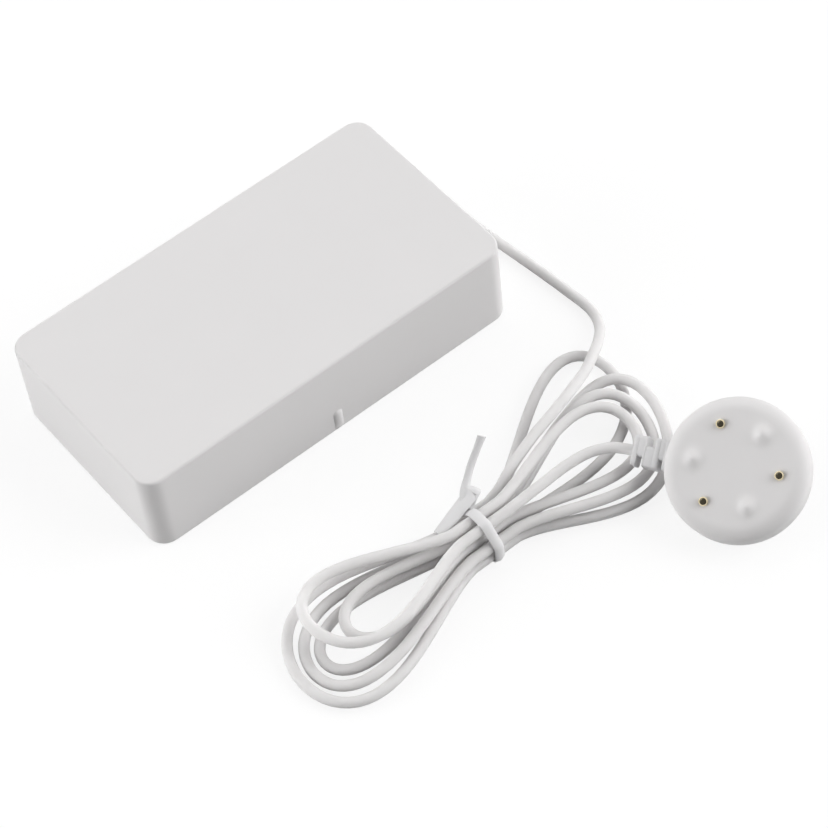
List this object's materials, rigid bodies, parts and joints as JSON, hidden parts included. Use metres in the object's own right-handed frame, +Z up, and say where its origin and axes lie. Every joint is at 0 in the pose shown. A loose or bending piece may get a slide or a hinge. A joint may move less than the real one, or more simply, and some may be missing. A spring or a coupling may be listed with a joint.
{
  "type": "water leak sensor",
  "caption": "Flat white box with rounded corners and a thin cord, tied in a hank, that ends in a round water probe with gold contacts.",
  "frame": {"origin": "centre of the main unit's underside", "axes": "+X along the main unit's long side towards the end that the cord leaves, +Z up out of its top, +Y away from the tied cord and the probe"},
  "size_m": [0.1045, 0.1257, 0.0205],
  "materials": {
    "cover_plastic": "fine satin moulding",
    "base_plastic": "fine satin moulding",
    "probe_plastic": "fine satin moulding",
    "cord_vinyl": "smooth soft vinyl",
    "soft_white": "soft matte moulding",
    "tie_film": "smooth plastic film over a wire",
    "gold_plate": "bright gold plating",
    "circuit_board": "solder mask over glass fibre",
    "plug_plastic": "plain moulding",
    "bright_metal": "tinned or plated sheet",
    "copper_strip": "plain strip",
    "clear_resin": "clear moulded resin",
    "black_plastic": "plain moulding",
    "cell_can": "plain film sleeve over a can",
    "wire_vinyl": "thin insulation"
  },
  "bodies": {
    "unit": {"base_plate": "base_plastic", "cord_grommet": "soft_white", "cord_inner": "cord_vinyl", "sensor_plug": "plug_plastic", "sensor_header": "plug_plastic", "main_pcb": "circuit_board", "pcb_screws": "bright_metal", "radio_module": "bright_metal", "antenna": "copper_strip", "status_led": "clear_resin", "switch_body": "black_plastic", "battery_cell_1": "cell_can", "battery_cell_2": "cell_can", "battery_bridge": "bright_metal", "battery_positive": "bright_metal", "battery_negative": "bright_metal", "cord_lead": "cord_vinyl", "cord_hank": "cord_vinyl", "cord_tail": "cord_vinyl", "twist_tie": "tie_film", "probe_face": "probe_plastic", "probe_back": "probe_plastic", "probe_pcb": "circuit_board", "probe_contact_1": "gold_plate", "probe_contact_2": "gold_plate", "probe_contact_3": "gold_plate", "probe_boot": "soft_white", "probe_wires": "wire_vinyl"},
    "cover": {"top_cover": "cover_plastic"},
    "plunger": {"switch_plunger": "black_plastic"}
  },
  "joints": [
    {"name": "cover_lift", "type": "slide", "parent": "unit", "child": "cover", "axis": [0, 0, 1], "range_m": [0, 0.04]},
    {"name": "switch_press", "type": "slide", "parent": "unit", "child": "plunger", "axis": [0, 0, -1], "range_m": [0, 0.00025], "stiffness_N_per_m": 2000}
  ]
}
